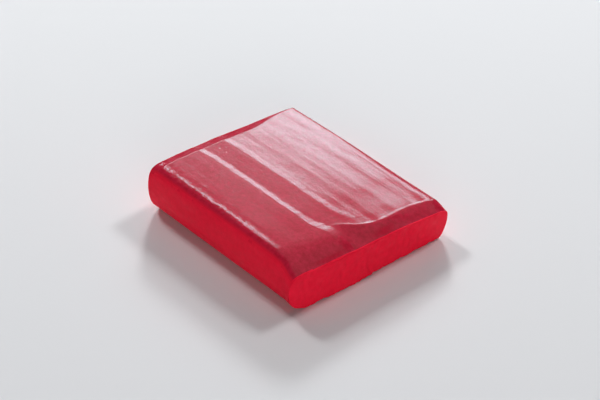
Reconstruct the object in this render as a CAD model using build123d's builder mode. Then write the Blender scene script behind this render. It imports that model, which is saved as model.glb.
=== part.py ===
"""Detailing clay bar: one slab of soft clay, extruded as a strip and cut to length.

+X runs along the strip to the knife-cut end, +Y across it, +Z up. Millimetres.
The origin is under the middle of the slab, on the surface that it rests on.
"""

import os
from math import atan2, degrees, radians, tan

from build123d import *

# Overall size of the slab
bar_length = 73.5  # tip of the cut end to the furthest corner of the rear end
bar_width = 61.0  # across the two bulged sides
near_thickness = 17.0  # of the strip at its -Y side
far_thickness = 13.0  # of the strip at its +Y side, which was pressed thinner

# The strip's two long sides
near_side_bulge = 2.6  # how far the -Y side swells out past its top and foot
far_side_bulge = 0.6
near_foot_radius = 5.0  # where the -Y side rolls under to the base
far_foot_radius = 2.4

# The knife-cut end, where the blade dragged the top down
near_drop = 3.0  # how far the top has come down at the cut
far_drop = 2.2
near_press_length = 17.0  # how far back from the cut the top starts to fall
far_press_length = 11.0
cut_lean = 6.0  # degrees, the cut face leans out at its top

# The rear end
rear_skew = 3.4  # degrees off square

soft_edge_radius = 1.6  # along both upper edges and round the rear end

# Spare stock past the slab's own outline, which the cuts take away
spare = 10.0
past_cut = 1.3

half_length = bar_length / 2
half_width = bar_width / 2
near_edge = -half_width + near_side_bulge
far_edge = half_width - far_side_bulge


def across(near_value, far_value, y):
    """A size that changes evenly from the slab's -Y edge to its +Y edge."""
    return near_value + (far_value - near_value) * (y - near_edge) / (far_edge - near_edge)


with BuildPart() as clay_bar:
    # The extruded strip: flat base, bulged sides and a top that slopes across the width
    with BuildSketch(Plane.YZ.offset(-half_length - spare)) as strip_profile:
        with BuildLine():
            Line((near_edge, 0), (far_edge, 0))
            ThreePointArc((far_edge, 0), (half_width, far_thickness / 2), (far_edge, far_thickness))
            Line((far_edge, far_thickness), (near_edge, near_thickness))
            ThreePointArc((near_edge, near_thickness), (-half_width, near_thickness / 2), (near_edge, 0))
        make_face()
        near_foot = strip_profile.vertices().group_by(Axis.Y)[0].sort_by(Axis.X)[0]
        fillet(near_foot, near_foot_radius)
        far_foot = strip_profile.vertices().group_by(Axis.Y)[0].sort_by(Axis.X)[-1]
        fillet(far_foot, far_foot_radius)
    extrude(amount=bar_length + 2 * spare)

    # Rear end, cut a few degrees off square
    rear_middle = -half_length + half_width * tan(radians(rear_skew))
    rear_plane = Plane((rear_middle, 0, 0), x_dir=(0, 1, 0), z_dir=(-1, 0, 0))
    split(bisect_by=rear_plane.rotated((0, 0, rear_skew)), keep=Keep.BOTTOM)

    # Knife-cut end, leaning out at its top
    cut_foot = half_length - (near_thickness - near_drop) * tan(radians(cut_lean))
    cut_plane = Plane((cut_foot, 0, 0), x_dir=(0, 1, 0), z_dir=(1, 0, 0))
    split(bisect_by=cut_plane.rotated((0, cut_lean, 0)), keep=Keep.BOTTOM)

    # The blade's drag: over the last stretch the top falls in one tangent arc to the cut
    for y in (-half_width - spare, half_width + spare):
        top = across(near_thickness, far_thickness, y)
        run = across(near_press_length, far_press_length, y)
        drop = across(near_drop, far_drop, y)
        radius = (run**2 + drop**2) / (2 * drop)
        turn = 2 * degrees(atan2(drop, run))
        start = (half_length - run, top)
        with BuildSketch(Plane.XZ.offset(-y)):
            with BuildLine():
                fall = CenterArc((start[0], top - radius), radius, 90, -turn * past_cut)
                past_end = fall @ 1
                Polyline(past_end, (past_end.X, top + spare), (start[0], top + spare), start)
            make_face()
    loft(ruled=True, mode=Mode.SUBTRACT)

    # Soft edges: along both sides of the top and right round the rear end
    upper_faces = clay_bar.faces().filter_by(lambda face: face.normal_at().Z > 0.9)
    side_faces = clay_bar.faces().filter_by(lambda face: abs(face.normal_at().Y) > 0.9)
    rear_face = clay_bar.faces().sort_by(Axis.X)[0]
    fillet((upper_faces.edges() & side_faces.edges()) + rear_face.edges(), soft_edge_radius)

clay_bar.part.label = "clay_bar"
os.makedirs("parts", exist_ok=True)
export_step(clay_bar.part, "parts/clay_bar.step")
print("volume", round(clay_bar.part.volume), "mm3,", clay_bar.part.bounding_box())
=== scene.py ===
import functools
import math

import bmesh
import bpy
import numpy as np
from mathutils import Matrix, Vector


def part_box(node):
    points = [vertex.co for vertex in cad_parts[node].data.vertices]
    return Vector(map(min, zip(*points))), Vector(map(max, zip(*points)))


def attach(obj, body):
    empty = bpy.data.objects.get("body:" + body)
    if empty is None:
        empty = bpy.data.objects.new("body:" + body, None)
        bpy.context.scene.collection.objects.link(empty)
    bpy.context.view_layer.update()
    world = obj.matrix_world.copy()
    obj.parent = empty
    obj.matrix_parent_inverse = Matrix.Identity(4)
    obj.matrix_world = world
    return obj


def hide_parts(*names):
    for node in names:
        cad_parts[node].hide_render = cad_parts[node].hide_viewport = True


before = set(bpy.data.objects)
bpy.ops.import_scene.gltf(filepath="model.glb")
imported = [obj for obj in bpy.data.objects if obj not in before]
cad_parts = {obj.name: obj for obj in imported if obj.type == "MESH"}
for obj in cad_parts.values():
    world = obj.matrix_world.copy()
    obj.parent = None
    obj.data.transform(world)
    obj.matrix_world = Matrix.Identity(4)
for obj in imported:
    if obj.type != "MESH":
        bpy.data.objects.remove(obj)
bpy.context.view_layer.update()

# The slab is the whole clay bar: one lump of soft detailing clay. It was squeezed through a die as
# a strip, which left a drawn skin with fine lines along its top, and then cut to length with a knife
# that dragged the top down and left a thin flash round the cut.
MM = 0.001
low, high = (np.array(corner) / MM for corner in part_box("clay_bar"))

# The strip is shaped at stations along x, from the rear one to the cut, and then moved to its real ends
rear_station, cut_station = -36.35, 36.0
rear_x = low[0] + 0.35             # the rear end, at the far side
cut_x = high[0] + 0.05             # the cut end
near_shoulder = low[1] + 7.5       # where the flat top starts to roll over on each side
far_shoulder = high[1] - 3.5
columns = 230                      # mesh columns across the top
rows = 30                          # mesh rows up each side


def smooth(a, b, t):
    """0 at a, 1 at b, an even S between them and flat beyond them."""
    u = np.clip((t - a) / (b - a), 0.0, 1.0)
    return u * u * (3.0 - 2.0 * u)


def ramp(t, soft):
    """0 on the left, t on the right, with a soft bend at 0."""
    return soft * np.logaddexp(0.0, t / soft)


def hump(t, middle, width):
    """1 in the middle, falling away on both sides."""
    return np.exp(-(((t - middle) / width) ** 2))


def band(t, width, soft):
    """Rises evenly from 0 to 1 over width, with a soft bend at each end."""
    return (ramp(t, soft) - ramp(t - width, soft)) / width


def quarter_round(t):
    """How far a round of radius 1 has come down: 0 at t = 0, and 1, ever steeper, at t = 1."""
    return 1 - np.sqrt(1 - np.clip(t, 0, 1) ** 2)


cells_u, cells_v = 128, 512        # how many random hills there are before they repeat


@functools.cache
def random_heights(seed):
    """A table of random heights, always the same for one seed."""
    return np.random.default_rng(seed).normal(size=(cells_u, cells_v))


def patches(u, v, cell_u, cell_v, seed):
    """Soft random hills and hollows of about unit height, one every cell_u by cell_v mm."""
    heights = random_heights(seed)
    a, b = np.broadcast_arrays(u / cell_u + cells_u / 2, v / cell_v + cells_v / 2)
    i, j = np.floor(a).astype(int), np.floor(b).astype(int)
    s, t = smooth(0.0, 1.0, a - i), smooth(0.0, 1.0, b - j)
    i, next_i = i % cells_u, (i + 1) % cells_u
    j, next_j = j % cells_v, (j + 1) % cells_v
    near = heights[i, j] * (1 - s) + heights[next_i, j] * s
    far = heights[i, next_j] * (1 - s) + heights[next_i, next_j] * s
    return near * (1 - t) + far * t


# The strip's top falls towards the far side, and faster beyond each of two soft folds along it
top_height = 16.95                 # at top_line
top_line = -27.5
top_slope = 0.040
middle_fold, middle_fold_slope = -0.5, 0.042
far_fold, far_fold_slope = 9.0, 0.024
one_fold_slope = 0.060             # the two folds taken as one, to tell how far up a point lies


def plain_top(y, steeper):
    """Height of the top without its lines: an even slope, and a steeper one beyond the middle fold."""
    return top_height - top_slope * (y - top_line) - steeper * ramp(y - middle_fold, 0.8)


# Two die lines run along the top. Each is a narrow flat that is steeper than the top beside it
line_softness = 0.08               # of their edges
near_line, near_line_slope = -7.9, 0.100
far_line, far_line_width, far_line_drop = 1.2, 2.3, 0.190


def drift(x):
    """How far the die lines wander sideways along the strip."""
    return -3.2 - 0.8 * hump(x, -36.0, 8.0) + 2.6 * smooth(20.0, 28.0, x)


def crown(x, y):
    """Height of the strip's top across its width, before the cut drags it down."""
    height = plain_top(y, middle_fold_slope) - far_fold_slope * ramp(y - far_fold, 2.0)
    # The two die lines, with ragged edges. The near one widens towards the cut and the far one fades
    ragged = 0.10 * patches(x, 0.0, 0.8, 1.0, seed=3) + 0.10 * patches(x, 0.0, 3.1, 1.0, seed=4)
    line = y - drift(x) - ragged
    wide = 1.9 + 1.3 * smooth(13.0, 25.0, x)
    near_flat = band(line - near_line + 0.5 * wide, wide, line_softness)
    height = height - near_line_slope * wide * near_flat
    fading = 1 - 0.8 * smooth(16.0, 27.0, x)
    height = height - far_line_drop * fading * band(line - far_line, far_line_width, line_softness)
    # The far half leans a little more towards the rear end
    height = height - 0.008 * ramp(y - middle_fold, 0.8) * smooth(20.0, -36.0, x)
    # Shallow draw lines, long and narrow, nearly all on the far half
    far = smooth(-2.0, 2.0, y)
    height = height + (0.002 + 0.020 * far) * patches(x, y, 34.0, 2.4, seed=5)
    height = height + (0.0005 + 0.0030 * far) * patches(x, y, 12.0, 0.6, seed=6)
    height = height + (0.003 + 0.010 * far) * patches(x, y, 6.0, 2.6, seed=7)
    # The dragged end is mottled, with faint lines along the lip
    mottle = 0.020 * patches(x, y, 4.0, 3.0, seed=8) + 0.004 * patches(x, y, 0.9, 9.0, seed=9)
    return height + smooth(22.0, 29.0, x) * mottle


def spline(points, n):
    """An even cubic B-spline through a short list of control points, from the first to the last."""
    p = np.array(points, float)
    p = np.vstack([2 * p[0] - p[1], p, 2 * p[-1] - p[-2]])
    spans = len(p) - 3
    t = np.linspace(0, spans, n)
    i = np.minimum(t.astype(int), spans - 1)
    u = (t - i)[:, None]
    return ((1 - u) ** 3 * p[i] + (3 * u**3 - 6 * u**2 + 4) * p[i + 1]
            + (-3 * u**3 + 3 * u**2 + 3 * u + 1) * p[i + 2] + u**3 * p[i + 3]) / 6


# Where the top breaks downwards near the cut, as (y, x): soft on the near half, crisp on the far half
crease_line = spline([
    (-33.0, 20.0), (-26.0, 22.5), (-20.0, 26.0), (-14.0, 27.0), (-9.5, 26.4), (-6.5, 25.4), (-3.5, 27.4),
    (0.0, 30.3), (6.0, 31.6), (12.0, 31.1), (19.4, 30.0), (27.0, 31.4), (33.0, 31.8)], 300)
near_drop, far_drop = 4.0, 2.4     # how far the top has come down at the cut
middle_drop = 0.40                 # what the middle has come down besides
near_sag, far_sag = 0.9, 0.45      # the part of it that starts well before the crease
lip_height = 0.05                  # the fine ridge along the crisp part of the crease


def fall(x, y):
    """How far the knife dragged the top down."""
    far = smooth(-10.0, -4.0, y)
    crease = np.interp(y, crease_line[:, 0], crease_line[:, 1])
    depth = near_drop - (near_drop - far_drop) * smooth(-22.0, 16.0, y) + middle_drop * hump(y, 2.0, 14.0)
    sag = near_sag * (1.0 - far) * np.clip((x - 12.0) / 24.0, 0.0, 1.0) ** 2
    sag = sag + far_sag * far * np.clip((x + 5.0) / 36.0, 0.0, 1.0) ** 2.2
    past = np.clip((x - crease) / (cut_station - crease), 0.0, 1.0)
    lip = lip_height * far * hump(x, crease - 0.4, 0.45)
    steep = depth - near_sag + (near_sag - far_sag) * far
    return steep * past ** (1.9 - 0.7 * far) + sag - lip


def side(x, shoulder, points):
    """One side of the strip from its base up to the shoulder, brought down with the top near the cut."""
    whole = float(crown(0.0, shoulder))
    curve = spline(points + [(shoulder, whole)], rows)
    curve[:, 1] *= (float(crown(x, shoulder)) - float(fall(x, shoulder))) / whole
    return curve


def near_side(x):
    """The thick side: its foot is rolled well under, and its belly swells out towards the cut."""
    edge = low[1]
    tuck = 0.12 * smooth(10.0, cut_station, x)
    face = edge - 0.53 + 0.4 * tuck - 0.9 * smooth(30.0, cut_station, x)
    end = smooth(29.0, cut_station, x)
    foot = 0.58 + tuck + 0.9 * end
    return side(x, near_shoulder, [
        (near_shoulder, 0.0),
        (edge + 5.0 + 0.5 * foot, 0.0),
        (edge + 2.5 + foot, 0.4),
        (face + 1.0 + 0.5 * foot, 2.6),
        (face, 7.1 + end),
        (face + 0.25 - 0.1 * end, 12.4 + 1.0 * end),
        (edge + 0.6 - 0.8 * end, 15.3 + 0.6 * end),
        (edge + 2.1 - 1.0 * end, 16.45 + 0.35 * end),
        (edge + 4.6 - 0.8 * end, 16.92)])


def far_side(x):
    """The thin side: nearly upright, with an upper edge that is sharper towards the rear."""
    edge = high[1]
    foot = smooth(16.0, cut_station, x)
    sharp = smooth(20.0, -20.0, x)
    return side(x, far_shoulder, [
        (far_shoulder, 0.0),
        (edge - 2.5, 0.1 * foot),
        (edge - 1.1 - 0.3 * foot, 0.3 + 0.8 * foot),
        (edge - 0.3 - 0.3 * foot, 1.6 + 1.6 * foot),
        (edge + 0.05 - 0.1 * foot, 4.5 + 1.5 * foot),
        (edge + 0.05, 8.0),
        (edge - 0.1 + 0.1 * sharp, 10.6 + 0.8 * sharp),
        (edge - 0.6 + 0.4 * sharp, 11.85 + 0.5 * sharp),
        (edge - 2.0, 12.42 + 0.1 * sharp)])


rear_skew = 3.5                    # how much further in the rear end lies at the near side
rear_bow = 0.375                   # how far its middle bows out
half_across = 29.0                 # half the width that the skew and the bow are measured over
rear_roll_slope = 0.23             # how steeply the top rolls over to the rear end
rear_edge_round = 0.5              # the small rounding at the very edge of that roll


def rear_end(x, y, z, share):
    """Skews and bows the rear end, rolls its top edge over and rounds its upright corners."""
    behind = x - rear_station
    part = (y + half_across) / (2 * half_across)
    inset = rear_skew * (1.0 - part) - 4 * rear_bow * part * (1.0 - part)
    px = x + inset * (1 - smooth(0.0, 30.0, behind)) + rear_x - rear_station
    reach = 4.1 + 0.4 * hump(y, 2.0, 14.0) - 3.3 * smooth(8.0, 27.0, y)
    roll = rear_roll_slope * reach * np.clip(1 - behind / reach, 0, 1) ** 1.05
    edge = (0.9 - 0.7 * smooth(18.0, 28.0, y)) * quarter_round(1 - behind / rear_edge_round)
    z = z - (roll + edge) * share**2
    turned = 0.6 - 0.35 * smooth(10.0, 27.0, y)
    corner = turned * quarter_round(1 - behind / turned)
    y = y * (1 - corner / 30.0)
    z = z + corner * (1 - share) ** 2
    return px, y, z


cut_lean = 0.105                   # how far the cut leans out, per mm of height
lean_height = 14.0                 # where the leaning cut reaches cut_x
cut_bow = 0.85                     # how far its foot bows out
flash_height, flash_reach = 0.30, 0.12      # how far the thin flash stands up and sticks out
foot_gap = 0.20                    # how far the ragged foot of the cut stands clear of the floor


def cut_end(x, px, y, z, share):
    """Leans the cut out at its top and bows it at its foot, with a thin flash and a ragged foot."""
    to_cut = cut_station - x
    foot = 1 - share
    px = px + (cut_x - rear_x - (cut_station - rear_station)) * smooth(-20.0, cut_station, x)
    px = px - cut_lean * (lean_height - z) * smooth(24.0, cut_station, x)
    flap = 0.35 * smooth(-17.0, -1.0, y) * (1 - smooth(0.0, 1.0, y)) * foot**2
    px = px + foot**2 * (cut_bow * hump(y, -12.0, 15.0) + flap) * smooth(26.0, cut_station, x)
    flash = (0.75 + 0.25 * patches(y, 0.0, 3.5, 1.0, seed=11)) * np.exp(-to_cut / 0.3)
    z = z + flash_height * flash * share**4
    px = px + flash_reach * flash
    ragged = 0.16 * patches(y, 0.0, 3.0, 1.0, seed=12)
    gap = foot_gap + ragged + 0.16 * patches(y, 0.0, 1.0, 1.0, seed=13)
    z = z + np.clip(gap, 0.0, 0.8) * foot**3 * np.exp(-to_cut / 1.2)
    return px, z


dent_depth = 0.022
crumb_height = 0.26


def dents(x, y, share):
    """Fine dents along the near shoulder, where the bar was handled."""
    along_shoulder = smooth(0.80, 0.97, share) * smooth(-23.6, -24.6, y) * (1 - 0.8 * smooth(12.0, 22.0, x))
    return dent_depth * along_shoulder * (
        patches(x, y, 0.6, 0.5, seed=14) + patches(x, y, 1.6, 0.7, seed=15)
        + patches(x, y, 4.0, 0.9, seed=16))


def crumbs(x, y, share):
    """A few crumbs at the near end of the lip, where the blade left the clay."""
    near_lip = hump(y, near_shoulder - 3.6, 1.8) * share**2 * np.exp(-(cut_station - x) / 0.8)
    return crumb_height * near_lip * patches(x, y, 0.4, 0.5, seed=17)


# The slices lie closest together where the shape changes fastest: at the very ends and along the drag
across = np.linspace(near_shoulder, far_shoulder, columns)
stations = np.concatenate([
    rear_station + 1.0 * (1 - np.cos(np.linspace(0, math.pi / 2, 9))),
    np.linspace(rear_station + 1.0, -31.4, 30)[1:],
    np.linspace(-31.4, 18.0, 118)[1:],
    np.linspace(18.0, cut_station - 1.0, 70)[1:],
    cut_station - np.geomspace(0.85, 0.05, 7),
    [cut_station]])


def slice_at(x):
    """The four edges of one slice across the strip: base, top, near side and far side."""
    base_edge = np.column_stack([across, np.zeros(columns)])
    top_edge = np.column_stack([across, crown(x, across) - fall(x, across)])
    edges = []
    for edge in (base_edge, top_edge, near_side(x), far_side(x)):
        y, z = edge[:, 0], edge[:, 1]
        share = np.clip(z / plain_top(y, one_fold_slope), 0, 1)     # 0 at the base, 1 at the top
        px, y, z = rear_end(x, y, z, share)
        px, z = cut_end(x, px, y, z, share)
        z = z + dents(x, y, share) + crumbs(x, y, share)
        edges.append(np.column_stack([px, y, z]))
    return edges


verts, faces, cut_faces = [], [], []


def sheet(grid, flip, skin_rows=0):
    """Adds a grid of points as quads: skin_rows rows with the drawn skin, and the rest cut clay."""
    n, m = grid.shape[:2]
    first = len(verts)
    verts.extend(grid.reshape(-1, 3).tolist())
    for i in range(n - 1):
        for j in range(m - 1):
            a = first + i * m + j
            quad = [a, a + 1, a + m + 1, a + m]
            faces.append(quad[::-1] if flip else quad)
            cut_faces.append(i >= skin_rows)


def end_face(edges, bow, relief):
    """Fills one end of the strip between its four edges, with a small bow and surface relief in mm."""
    base, top, near, far = edges
    b = np.linspace(0, 1, columns)[None, :, None]
    c = np.linspace(0, 1, rows)[:, None, None]
    grid = ((1 - c) * base[None] + c * top[None] + (1 - b) * near[:, None] + b * far[:, None]
            - ((1 - b) * (1 - c) * base[0] + b * (1 - c) * base[-1]
               + (1 - b) * c * top[0] + b * c * top[-1]))
    inside = 4 * c * (1 - c) * (1 - (2 * b - 1) ** 8)
    tears = (patches(grid[..., 1], grid[..., 2], 5.0, 2.2, seed=21)
             + 0.5 * patches(grid[..., 1], grid[..., 2], 1.2, 5.0, seed=22))
    grid[..., 0] += (bow * inside)[..., 0] + relief * inside[..., 0] * tears
    return grid


skin_end = cut_station - 0.4       # the drawn skin stops here, just short of the flash
slices = [slice_at(x) for x in stations]
top_edges, near_edges, far_edges = (np.array([edges[k] for edges in slices]) for k in (1, 2, 3))
sheet(top_edges, flip=True, skin_rows=np.count_nonzero(stations <= skin_end))
sheet(near_edges, flip=False)
sheet(far_edges, flip=True)
sheet(end_face(slices[0], bow=-0.6, relief=0.05), flip=False)
sheet(end_face(slices[-1], bow=0.25, relief=0.14), flip=True)

mesh = bpy.data.meshes.new("slab")
mesh.from_pydata((np.array(verts) * MM).tolist(), [], faces)
mesh.polygons.foreach_set("material_index", np.array(cut_faces, dtype=np.int32))
shape = bmesh.new()
shape.from_mesh(mesh)
weld_gap = 0.001 * MM              # points of two sheets that are closer than this are one
bmesh.ops.remove_doubles(shape, verts=shape.verts, dist=weld_gap)

# The base is closed with a narrow ring of quads round one flat face
ring_inset = 0.93                  # the inner edge of the ring, as a share of the outer one
rim = [e for e in shape.edges if len(e.link_faces) == 1]
ring = bmesh.ops.extrude_edge_only(shape, edges=rim)["geom"]
for v in [g for g in ring if isinstance(g, bmesh.types.BMVert)]:
    v.co.x *= ring_inset
    v.co.y *= ring_inset
    v.co.z = 0.0
inner = [g for g in ring if isinstance(g, bmesh.types.BMEdge) and len(g.link_faces) == 1]
bmesh.ops.contextual_create(shape, geom=inner)

# The base is dull like the sides. The glossy drawn skin reaches over each shoulder as far as that
# still faces up
SKIN, CUT_CLAY = 0, 1              # the mesh's two material slots
foot_top = 1.2 * MM                # everything lower than this is base or foot
skin_low = 8.0 * MM                # the skin stays above this
skin_up = 0.55                     # how far up it has to face, from 0 level to 1 straight up
skin_front = 36.2 * MM             # how near the cut it comes
for f in shape.faces:
    if f.calc_center_median().z < foot_top:
        f.material_index = CUT_CLAY
bmesh.ops.recalc_face_normals(shape, faces=shape.faces)
for f in shape.faces:
    f.smooth = True
    middle = f.calc_center_median()
    outside = middle.y < near_shoulder * MM or middle.y > far_shoulder * MM
    if outside and middle.z > skin_low and f.normal.z > skin_up and middle.x < skin_front:
        f.material_index = SKIN
sharp_turn = math.radians(38)      # a sharper turn than this is a crisp edge
for e in shape.edges:
    if len(e.link_faces) == 2 and e.calc_face_angle(0) > sharp_turn:
        e.smooth = False
shape.to_mesh(mesh)
shape.free()
slab = bpy.data.objects.new("slab", mesh)
bpy.context.scene.collection.objects.link(slab)

# Uneven mixing and fine grain in the clay, used by the drawn skin and by the cut clay
grain = bpy.data.node_groups.new("clay_grain", "ShaderNodeTree")
for name, kind in (("Colour", "NodeSocketColor"), ("Deep Colour", "NodeSocketColor"),
                   ("Streak Length", "NodeSocketFloat"), ("Grain Size", "NodeSocketFloat")):
    grain.interface.new_socket(name, in_out="INPUT", socket_type=kind)
for name, kind in (("Colour", "NodeSocketColor"), ("Streaks", "NodeSocketFloat"),
                   ("Grain", "NodeSocketFloat")):
    grain.interface.new_socket(name, in_out="OUTPUT", socket_type=kind)
gn, gl = grain.nodes, grain.links
g_in, g_out = gn.new("NodeGroupInput"), gn.new("NodeGroupOutput")
place = gn.new("ShaderNodeTexCoord")
stretch = gn.new("ShaderNodeVectorMath")
stretch.operation = "MULTIPLY"
scale = gn.new("ShaderNodeCombineXYZ")
gl.new(g_in.outputs["Streak Length"], scale.inputs["X"])
scale.inputs["Y"].default_value = 1.0
scale.inputs["Z"].default_value = 1.0
gl.new(place.outputs["Object"], stretch.inputs[0])
gl.new(scale.outputs[0], stretch.inputs[1])
streak = gn.new("ShaderNodeTexNoise")
streak.inputs["Scale"].default_value = 420.0
streak.inputs["Detail"].default_value = 4.0
streak.inputs["Roughness"].default_value = 0.62
gl.new(stretch.outputs[0], streak.inputs["Vector"])
cloud = gn.new("ShaderNodeTexNoise")
cloud.inputs["Scale"].default_value = 700.0
cloud.inputs["Detail"].default_value = 6.0
cloud.inputs["Roughness"].default_value = 0.7
gl.new(place.outputs["Object"], cloud.inputs["Vector"])
speck = gn.new("ShaderNodeTexNoise")
gl.new(g_in.outputs["Grain Size"], speck.inputs["Scale"])
speck.inputs["Detail"].default_value = 2.0
gl.new(place.outputs["Object"], speck.inputs["Vector"])
contrast = gn.new("ShaderNodeMapRange")
contrast.inputs["From Min"].default_value = 0.35
contrast.inputs["From Max"].default_value = 0.65
gl.new(cloud.outputs["Fac"], contrast.inputs["Value"])
tint = gn.new("ShaderNodeMix")
tint.data_type = "RGBA"
gl.new(contrast.outputs["Result"], tint.inputs["Factor"])
gl.new(g_in.outputs["Deep Colour"], tint.inputs["A"])
gl.new(g_in.outputs["Colour"], tint.inputs["B"])
gl.new(tint.outputs["Result"], g_out.inputs["Colour"])
gl.new(streak.outputs["Fac"], g_out.inputs["Streaks"])
gl.new(speck.outputs["Fac"], g_out.inputs["Grain"])


def clay_material(name, colour, deep, streak_length, grain_size, rough_range, grain_height):
    """A clay finish: colour and roughness vary with the grain group, and a fine bump follows it."""
    made = bpy.data.materials.new(name)
    made.use_nodes = True
    nodes, links = made.node_tree.nodes, made.node_tree.links
    shader = nodes["Principled BSDF"]
    group = nodes.new("ShaderNodeGroup")
    group.node_tree = grain
    group.inputs["Colour"].default_value = (*colour, 1)
    group.inputs["Deep Colour"].default_value = (*deep, 1)
    group.inputs["Streak Length"].default_value = streak_length
    group.inputs["Grain Size"].default_value = grain_size
    links.new(group.outputs["Colour"], shader.inputs["Base Color"])
    rough = nodes.new("ShaderNodeMapRange")
    rough.inputs["From Min"].default_value = 0.35
    rough.inputs["From Max"].default_value = 0.65
    rough.inputs["To Min"].default_value = rough_range[0]
    rough.inputs["To Max"].default_value = rough_range[1]
    links.new(group.outputs["Streaks"], rough.inputs["Value"])
    links.new(rough.outputs["Result"], shader.inputs["Roughness"])
    bump = nodes.new("ShaderNodeBump")
    bump.inputs["Strength"].default_value = 1.0
    bump.inputs["Distance"].default_value = grain_height
    links.new(group.outputs["Grain"], bump.inputs["Height"])
    links.new(bump.outputs["Normal"], shader.inputs["Normal"])
    return made, shader


skin, skin_shader = clay_material(
    "drawn_skin", colour=(0.56, 0.010, 0.044), deep=(0.40, 0.002, 0.020), streak_length=0.06,
    grain_size=1800.0, rough_range=(0.10, 0.19), grain_height=0.000038)
skin_shader.inputs["Specular IOR Level"].default_value = 0.5

# Painted glow: where the skin turns down over a shoulder or an end, its red is painted brighter the less it
# faces up, as if lit through the clay, until it meets the cut clay's red
nodes, links = skin.node_tree.nodes, skin.node_tree.links
facing = nodes.new("ShaderNodeNewGeometry")
parts = nodes.new("ShaderNodeSeparateXYZ")
painted_glow_mask = nodes.new("ShaderNodeMapRange")
painted_glow_mask.interpolation_type = "SMOOTHSTEP"
painted_glow_mask.inputs["From Min"].default_value = 0.66
painted_glow_mask.inputs["From Max"].default_value = 0.90
links.new(facing.outputs["Normal"], parts.inputs[0])
links.new(parts.outputs["Z"], painted_glow_mask.inputs["Value"])
# The painted glow: a brighter red mixed in by how far the skin faces sideways
painted_glow_mix = nodes.new("ShaderNodeMix")
painted_glow_mix.data_type = "RGBA"
painted_glow_mix.inputs["A"].default_value = (0.82, 0.008, 0.038, 1)
links.new(painted_glow_mask.outputs["Result"], painted_glow_mix.inputs["Factor"])
links.new(skin_shader.inputs["Base Color"].links[0].from_socket, painted_glow_mix.inputs["B"])
links.new(painted_glow_mix.outputs["Result"], skin_shader.inputs["Base Color"])
mesh.materials.append(skin)

cut_clay, cut_shader = clay_material(
    "cut_clay", colour=(0.91, 0.010, 0.044), deep=(0.82, 0.007, 0.034), streak_length=0.25,
    grain_size=1100.0, rough_range=(0.5, 0.7), grain_height=0.00003)
cut_shader.inputs["Specular IOR Level"].default_value = 0.12
mesh.materials.append(cut_clay)

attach(slab, "root")
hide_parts("clay_bar")

# The floor is one wide sheet of pale matt paper that the bar lies on. It is flat, level and
# unmarked, and it runs on well past the lights.
half_sheet = 5.0
sheet_corners = [(-half_sheet, -half_sheet, 0), (half_sheet, -half_sheet, 0),
                 (half_sheet, half_sheet, 0), (-half_sheet, half_sheet, 0)]
floor_mesh = bpy.data.meshes.new("floor")
floor_mesh.from_pydata(sheet_corners, [], [(0, 1, 2, 3)])
floor = bpy.data.objects.new("floor", floor_mesh)
bpy.context.scene.collection.objects.link(floor)
paper = bpy.data.materials.new("paper")
paper.use_nodes = True
paper_shader = paper.node_tree.nodes["Principled BSDF"]
paper_shader.inputs["Base Color"].default_value = (0.750, 0.752, 0.745, 1)
paper_shader.inputs["Roughness"].default_value = 0.8
paper_shader.inputs["Specular IOR Level"].default_value = 0.1
floor_mesh.materials.append(paper)

# The studio lights are soft rectangles round the bar. Large ones behind and above it draw the sheen
# along its top, and three small ones behind it throw its shadow forwards. Two stand at the front: one
# fills the shaded side, and the other is only mirrored, for the views from behind.
plain_white = (0.98, 0.975, 1.01)
cool_white = (0.62, 0.97, 1.05)
warm_white = (1.05, 0.88, 0.90)


def softbox(name, direction, distance, size, radiance, glossy=True, diffuse=True, tint=plain_white):
    """A soft rectangle that shines from direction; radiance is how bright its face looks."""
    lamp = bpy.data.lights.new(name, "AREA")
    lamp.shape = "RECTANGLE"
    lamp.size, lamp.size_y = size
    lamp.energy = radiance * math.pi * size[0] * size[1]
    lamp.color = tint
    box = bpy.data.objects.new(name, lamp)
    towards = Vector(direction).normalized()
    box.location = towards * distance
    box.rotation_euler = towards.to_track_quat("Z", "Y").to_euler()
    box.visible_glossy = glossy
    box.visible_diffuse = diffuse
    bpy.context.scene.collection.objects.link(box)


def aim(azimuth, elevation):
    """The direction at azimuth degrees round from +X towards +Y, and elevation degrees up."""
    a, e = math.radians(azimuth), math.radians(elevation)
    return (math.cos(a) * math.cos(e), math.sin(a) * math.cos(e), math.sin(e))


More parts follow.
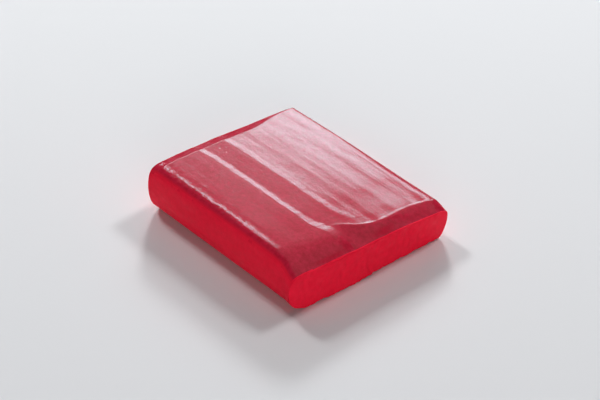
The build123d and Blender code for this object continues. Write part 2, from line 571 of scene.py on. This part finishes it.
softbox("low_softbox", aim(136, 21.1), distance=3.0, size=(1.9, 0.36), radiance=7.4, tint=cool_white)
softbox("low_softbox_top", aim(136, 26.4), distance=3.0, size=(1.9, 0.20), radiance=1.9, tint=cool_white)
softbox("upper_panel", aim(136, 39.5), distance=3.05, size=(3.0, 1.10), radiance=0.52)
softbox("top_panel", aim(112, 65.0), distance=3.05, size=(3.0, 1.70), radiance=0.38, diffuse=False)
softbox("shoulder_strip", (-0.632, 0.29, 0.715), distance=1.5, size=(0.18, 0.24), radiance=10.0,
        diffuse=False, tint=cool_white)
softbox("back_right_key", (0.02, 0.85, 0.90), distance=1.3, size=(0.22, 0.22), radiance=38.0, glossy=False)
softbox("back_left_key", (-1.12, 0.04, 1.0), distance=1.3, size=(0.22, 0.22), radiance=43.0, glossy=False)
softbox("back_key", aim(139, 24.0), distance=1.6, size=(0.20, 0.20), radiance=116.0, glossy=False)
softbox("front_fill", (0.73, -0.51, 0.11), distance=1.6, size=(0.9, 0.9), radiance=5.5,
        glossy=False, tint=warm_white)
softbox("front_panel", aim(-45, 20.0), distance=3.0, size=(2.4, 0.7), radiance=0.7, diffuse=False)

world = bpy.data.worlds.new("studio")
world.use_nodes = True
world.node_tree.nodes["Background"].inputs["Color"].default_value = (0.92, 0.95, 1.0, 1)
world.node_tree.nodes["Background"].inputs["Strength"].default_value = 0.10
bpy.context.scene.world = world

# The camera looks down on the bar from the front right through a long lens, so that the slab's sides
# run nearly parallel. It aims a little past the middle of the bar.
azimuth, elevation = math.radians(49.95), math.radians(34.35)
distance = 0.5736
aim_offset = Vector((0.0012, 0.0018, -0.0008))
back = Vector((math.sin(azimuth) * math.cos(elevation), -math.cos(azimuth) * math.cos(elevation),
               math.sin(elevation)))
middle_of_bar = Vector(((low + high) / 2 * MM).tolist())
eye = bpy.data.cameras.new("camera")
eye.lens = 112.9
eye.sensor_width = 36
camera = bpy.data.objects.new("camera", eye)
camera.location = middle_of_bar + aim_offset + back * distance
camera.rotation_euler = back.to_track_quat("Z", "Y").to_euler()
bpy.context.scene.collection.objects.link(camera)
bpy.context.scene.camera = camera
bpy.context.scene.view_settings.view_transform = "Standard"
